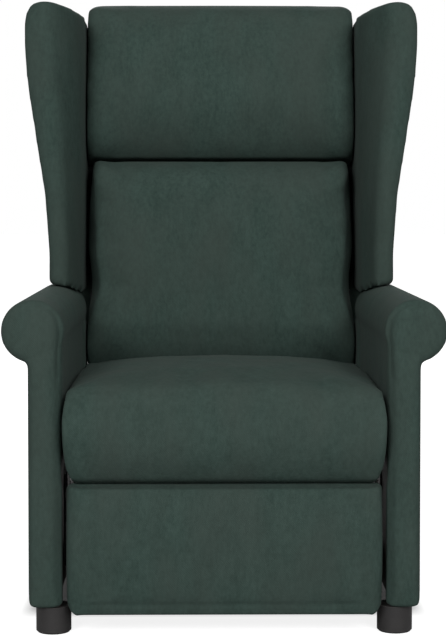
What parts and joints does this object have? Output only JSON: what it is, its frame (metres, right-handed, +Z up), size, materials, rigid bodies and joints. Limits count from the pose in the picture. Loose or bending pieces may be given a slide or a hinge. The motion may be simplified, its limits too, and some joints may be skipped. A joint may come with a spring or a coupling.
{
  "type": "massage armchair",
  "caption": "Wing-back armchair with rolled arms that reclines when pushed back, lifts its footrest on a linkage and vibrates in the seat and lumbar cushions.",
  "frame": {"origin": "on the floor under the middle of the chair's overall width and depth", "axes": "+X to the right of someone facing the chair's front, -Y towards its front, +Z up; the rest pose is upright with the footrest closed"},
  "size_m": [0.7192, 0.8019, 1.0633],
  "materials": {
    "upholstery": "woven, matt, faintly mottled",
    "plywood": "raw plywood",
    "timber": "sawn and planed softwood",
    "foot": "satin black",
    "webbing": "elastic webbing",
    "housing": "textured black",
    "spring_steel": "drawn wire",
    "motor_housing": "moulded, off-white",
    "rotor_metal": "machined",
    "plate_steel": "black powder coat"
  },
  "bodies": {
    "base": {"left_arm_board": "plywood", "right_arm_board": "plywood", "left_arm_pad": "upholstery", "right_arm_pad": "upholstery", "left_base_plate": "plate_steel", "right_base_plate": "plate_steel", "front_cross_rail": "timber", "rear_cross_rail": "timber", "front_feet": "foot", "rear_feet": "foot", "control_box": "housing"},
    "front_swing": {"left_front_swing_link": "plate_steel", "right_front_swing_link": "plate_steel"},
    "rear_swing": {"left_rear_swing_link": "plate_steel", "right_rear_swing_link": "plate_steel"},
    "seat": {"left_seat_rail": "timber", "right_seat_rail": "timber", "front_seat_rail": "timber", "rear_seat_rail": "timber", "seat_springs": "spring_steel", "seat_cushion": "upholstery", "left_seat_bracket": "plate_steel", "right_seat_bracket": "plate_steel", "seat_motor_cases": "motor_housing"},
    "back": {"left_back_stile": "timber", "right_back_stile": "timber", "top_back_rail": "timber", "middle_back_rail": "timber", "bottom_back_rail": "timber", "back_webbing": "webbing", "left_wing": "upholstery", "right_wing": "upholstery", "left_wing_rail": "timber", "right_wing_rail": "timber", "head_cushion": "upholstery", "lumbar_cushion": "upholstery", "back_cover": "upholstery", "left_back_bracket": "plate_steel", "right_back_bracket": "plate_steel", "back_motor_cases": "motor_housing"},
    "drive": {"left_drive_link": "plate_steel", "right_drive_link": "plate_steel"},
    "link_a": {"left_footrest_link_a": "plate_steel", "right_footrest_link_a": "plate_steel"},
    "link_b": {"left_footrest_link_b": "plate_steel", "right_footrest_link_b": "plate_steel", "footrest_cross_tube": "plate_steel"},
    "link_c": {"left_footrest_link_c": "plate_steel", "right_footrest_link_c": "plate_steel"},
    "link_d": {"left_footrest_link_d": "plate_steel", "right_footrest_link_d": "plate_steel"},
    "footrest": {"footrest_board": "plywood", "footrest_pad": "upholstery", "left_footrest_bracket": "plate_steel", "right_footrest_bracket": "plate_steel"},
    "left_lumbar_rotor": {"left_lumbar_rotor": "rotor_metal"},
    "right_lumbar_rotor": {"right_lumbar_rotor": "rotor_metal"},
    "left_seat_rotor": {"left_seat_rotor": "rotor_metal"},
    "right_seat_rotor": {"right_seat_rotor": "rotor_metal"}
  },
  "joints": [
    {"name": "front_swing", "type": "hinge", "parent": "base", "child": "front_swing", "pos_m": [0, -0.16148, 0.2044], "axis": [1, 0, 0], "range_deg": [0, 57.02]},
    {"name": "seat_glide", "type": "hinge", "parent": "front_swing", "child": "seat", "pos_m": [0, -0.11674, 0.27072], "axis": [1, 0, 0], "range_deg": [-57.02, 0]},
    {"name": "recline", "type": "hinge", "parent": "seat", "child": "back", "pos_m": [0, 0.18852, 0.308], "axis": [-1, 0, 0], "range_deg": [0, 38]},
    {"name": "rear_swing", "type": "hinge", "parent": "base", "child": "rear_swing", "pos_m": [0, 0.05852, 0.2044], "axis": [1, 0, 0], "range_deg": [0, 57.02]},
    {"name": "drive", "type": "hinge", "parent": "base", "child": "drive", "pos_m": [0, 0.11662, 0.062], "axis": [1, 0, 0], "range_deg": [0, 29.68]},
    {"name": "link_a", "type": "hinge", "parent": "seat", "child": "link_a", "pos_m": [0, -0.28648, 0.178], "axis": [-1, 0, 0], "range_deg": [0, 94.19]},
    {"name": "link_b", "type": "hinge", "parent": "seat", "child": "link_b", "pos_m": [0, -0.27248, 0.214], "axis": [-1, 0, 0], "range_deg": [0, 91.56]},
    {"name": "link_c", "type": "hinge", "parent": "link_b", "child": "link_c", "pos_m": [0, -0.22048, 0.115], "axis": [-1, 0, 0], "range_deg": [-97.59, 0]},
    {"name": "link_d", "type": "hinge", "parent": "link_b", "child": "link_d", "pos_m": [0, -0.21948, 0.066], "axis": [-1, 0, 0], "range_deg": [-97.39, 0]},
    {"name": "footrest", "type": "hinge", "parent": "link_c", "child": "footrest", "pos_m": [0, -0.31348, 0.2], "axis": [-1, 0, 0], "range_deg": [0, 95.35]},
    {"name": "left_lumbar_motor", "type": "hinge", "parent": "back", "child": "left_lumbar_rotor", "pos_m": [-0.095, 0.23096, 0.49322], "axis": [0, -0.9781, 0.2079], "continuous": true},
    {"name": "right_lumbar_motor", "type": "hinge", "parent": "back", "child": "right_lumbar_rotor", "pos_m": [0.095, 0.23096, 0.49322], "axis": [0, -0.9781, 0.2079], "continuous": true},
    {"name": "left_seat_motor", "type": "hinge", "parent": "seat", "child": "left_seat_rotor", "pos_m": [-0.1, -0.11148, 0.3444], "axis": [0, 0, 1], "continuous": true},
    {"name": "right_seat_motor", "type": "hinge", "parent": "seat", "child": "right_seat_rotor", "pos_m": [0.1, -0.11148, 0.3444], "axis": [0, 0, 1], "continuous": true}
  ],
  "couplings": [
    {"joint": "front_swing", "follows": "recline", "ratio": 1.5},
    {"joint": "seat_glide", "follows": "recline", "ratio": -1.5},
    {"joint": "rear_swing", "follows": "recline", "ratio": 1.5},
    {"joint": "drive", "follows": "recline", "ratio": 0.78042},
    {"joint": "link_a", "follows": "recline", "ratio": 2.4782},
    {"joint": "link_b", "follows": "recline", "ratio": 2.409},
    {"joint": "link_c", "follows": "recline", "ratio": -2.5676},
    {"joint": "link_d", "follows": "recline", "ratio": -2.5624},
    {"joint": "footrest", "follows": "recline", "ratio": 2.5086}
  ]
}
